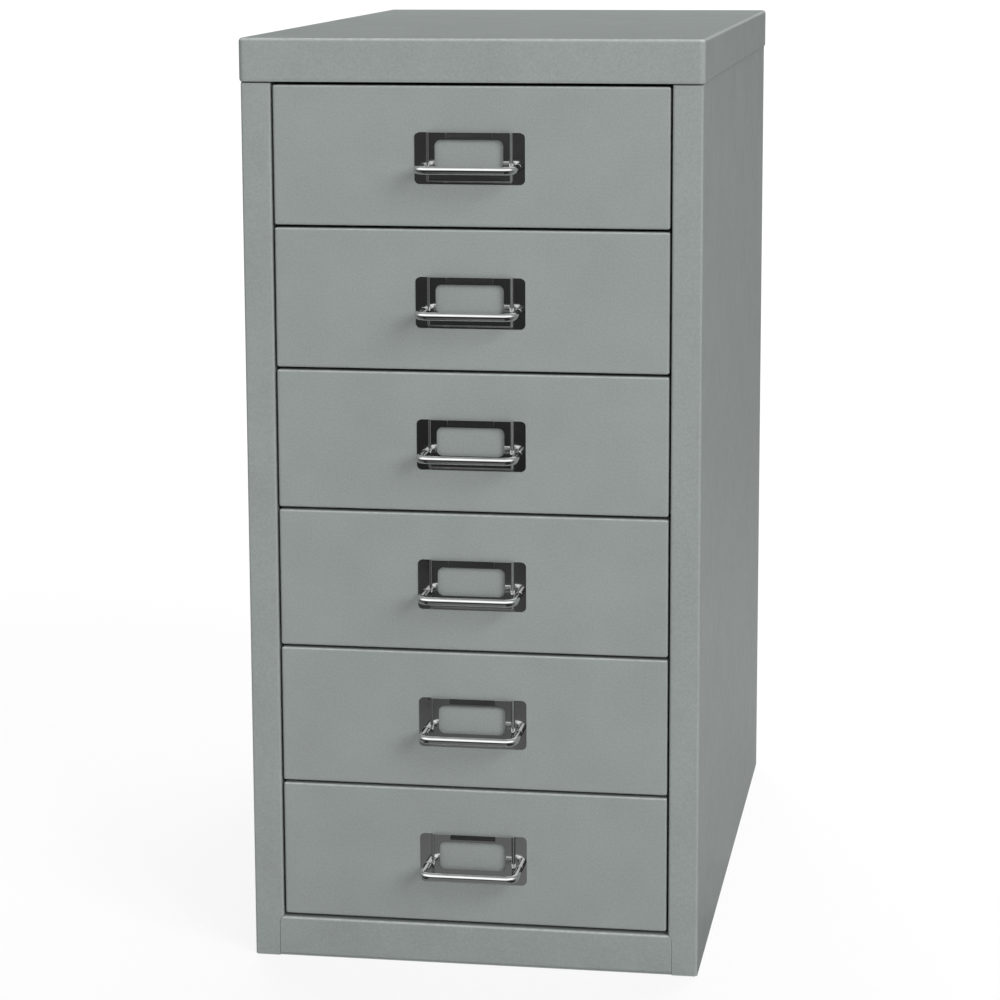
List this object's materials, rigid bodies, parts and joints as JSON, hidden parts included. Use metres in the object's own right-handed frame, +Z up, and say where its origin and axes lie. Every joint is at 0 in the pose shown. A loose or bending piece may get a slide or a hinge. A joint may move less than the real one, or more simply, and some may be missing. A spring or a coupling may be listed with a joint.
{
  "type": "small metal drawer cabinet",
  "caption": "Small free-standing cabinet in folded sheet steel, with sliding drawers that each have a chromed card holder and a fixed wire pull.",
  "frame": {"origin": "centre of the footprint, on the floor, under the middle of the base pan", "axes": "+Z up, the drawers open towards -Y, +X to the right seen from the front"},
  "size_m": [0.279, 0.4928, 0.57],
  "materials": {
    "paint": "grey-green powder coat, satin, with a very fine texture",
    "chrome": "bright chrome plate",
    "zinc_plate": "bright zinc-plated steel",
    "rubber": "matt black rubber"
  },
  "bodies": {
    "carcass": {"top_cap": "paint", "left_side_panel": "paint", "right_side_panel": "paint", "back_panel": "paint", "base_pan": "paint", "base_rail": "paint", "top_rail": "paint", "left_rear_upright": "paint", "right_rear_upright": "paint", "runner_stops": "rubber", "rear_bumpers": "rubber", "left_runner_1": "zinc_plate", "left_runner_2": "zinc_plate", "left_runner_3": "zinc_plate", "left_runner_4": "zinc_plate", "left_runner_5": "zinc_plate", "left_runner_6": "zinc_plate", "right_runner_1": "zinc_plate", "right_runner_2": "zinc_plate", "right_runner_3": "zinc_plate", "right_runner_4": "zinc_plate", "right_runner_5": "zinc_plate", "right_runner_6": "zinc_plate"},
    "drawer_1": {"drawer_1_tray": "paint", "drawer_1_front": "paint", "drawer_1_card_holder": "chrome", "drawer_1_pull": "chrome", "drawer_1_pull_screws": "zinc_plate"},
    "drawer_2": {"drawer_2_tray": "paint", "drawer_2_front": "paint", "drawer_2_card_holder": "chrome", "drawer_2_pull": "chrome", "drawer_2_pull_screws": "zinc_plate"},
    "drawer_3": {"drawer_3_tray": "paint", "drawer_3_front": "paint", "drawer_3_card_holder": "chrome", "drawer_3_pull": "chrome", "drawer_3_pull_screws": "zinc_plate"},
    "drawer_4": {"drawer_4_tray": "paint", "drawer_4_front": "paint", "drawer_4_card_holder": "chrome", "drawer_4_pull": "chrome", "drawer_4_pull_screws": "zinc_plate"},
    "drawer_5": {"drawer_5_tray": "paint", "drawer_5_front": "paint", "drawer_5_card_holder": "chrome", "drawer_5_pull": "chrome", "drawer_5_pull_screws": "zinc_plate"},
    "drawer_6": {"drawer_6_tray": "paint", "drawer_6_front": "paint", "drawer_6_card_holder": "chrome", "drawer_6_pull": "chrome", "drawer_6_pull_screws": "zinc_plate"}
  },
  "joints": [
    {"name": "drawer_1_slide", "type": "slide", "parent": "carcass", "child": "drawer_1", "axis": [0, -1, 0], "range_m": [0, 0.33]},
    {"name": "drawer_2_slide", "type": "slide", "parent": "carcass", "child": "drawer_2", "axis": [0, -1, 0], "range_m": [0, 0.33]},
    {"name": "drawer_3_slide", "type": "slide", "parent": "carcass", "child": "drawer_3", "axis": [0, -1, 0], "range_m": [0, 0.33]},
    {"name": "drawer_4_slide", "type": "slide", "parent": "carcass", "child": "drawer_4", "axis": [0, -1, 0], "range_m": [0, 0.33]},
    {"name": "drawer_5_slide", "type": "slide", "parent": "carcass", "child": "drawer_5", "axis": [0, -1, 0], "range_m": [0, 0.33]},
    {"name": "drawer_6_slide", "type": "slide", "parent": "carcass", "child": "drawer_6", "axis": [0, -1, 0], "range_m": [0, 0.33]}
  ]
}
